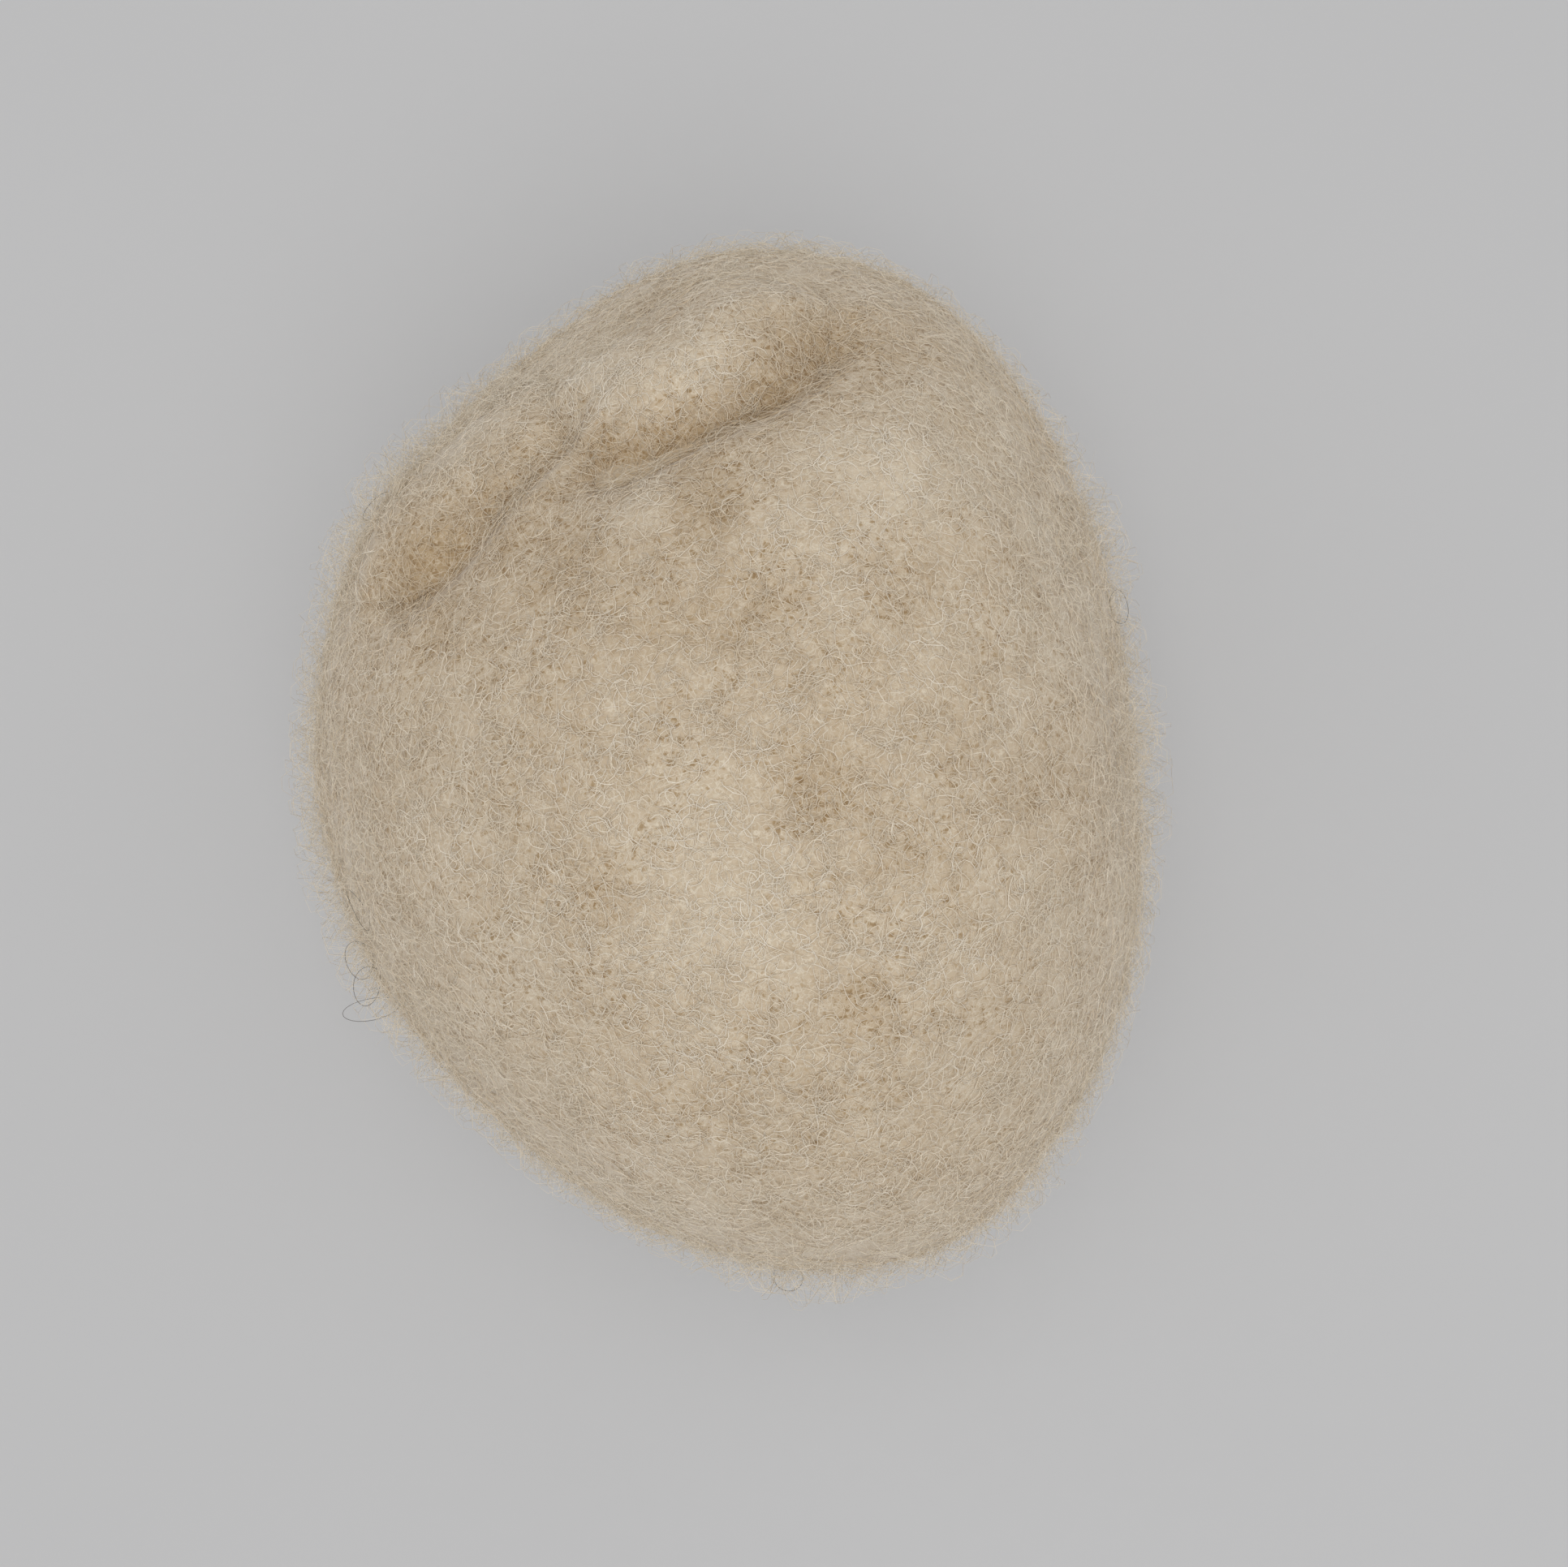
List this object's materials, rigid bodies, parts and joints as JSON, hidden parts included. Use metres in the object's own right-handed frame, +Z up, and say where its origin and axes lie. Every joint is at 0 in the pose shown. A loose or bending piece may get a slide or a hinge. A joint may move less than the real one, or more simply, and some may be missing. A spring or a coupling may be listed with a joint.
{
  "type": "dryer ball",
  "caption": "Felted wool dryer ball: a lumpy ovoid of wrapped carded wool over a rolled core, with closing wisps felted down along a crease",
  "frame": {"origin": "on the surface the ball rests on, under the middle of its bounding box", "axes": "+Z up, +Y along the ball's longest extent, +X across it"},
  "size_m": [0.063, 0.078, 0.06],
  "materials": {
    "cover_wool": "matte fuzzy felt",
    "wisp_wool": "matte fuzzy felt",
    "inner_wool": "matte dense felt",
    "core_wool": "matte dense felt"
  },
  "bodies": {
    "root": {"cover_wrap_lengthwise": "cover_wool", "cover_wrap_crosswise": "cover_wool", "closing_wisp_left": "wisp_wool", "closing_wisp_right": "wisp_wool", "middle_wrap_round_waist": "inner_wool", "middle_wrap_lengthwise": "inner_wool", "middle_wrap_crosswise": "inner_wool", "inner_wrap_round_waist": "inner_wool", "inner_wrap_lengthwise": "inner_wool", "inner_wrap_crosswise": "inner_wool", "core_roll": "core_wool"}
  },
  "joints": []
}
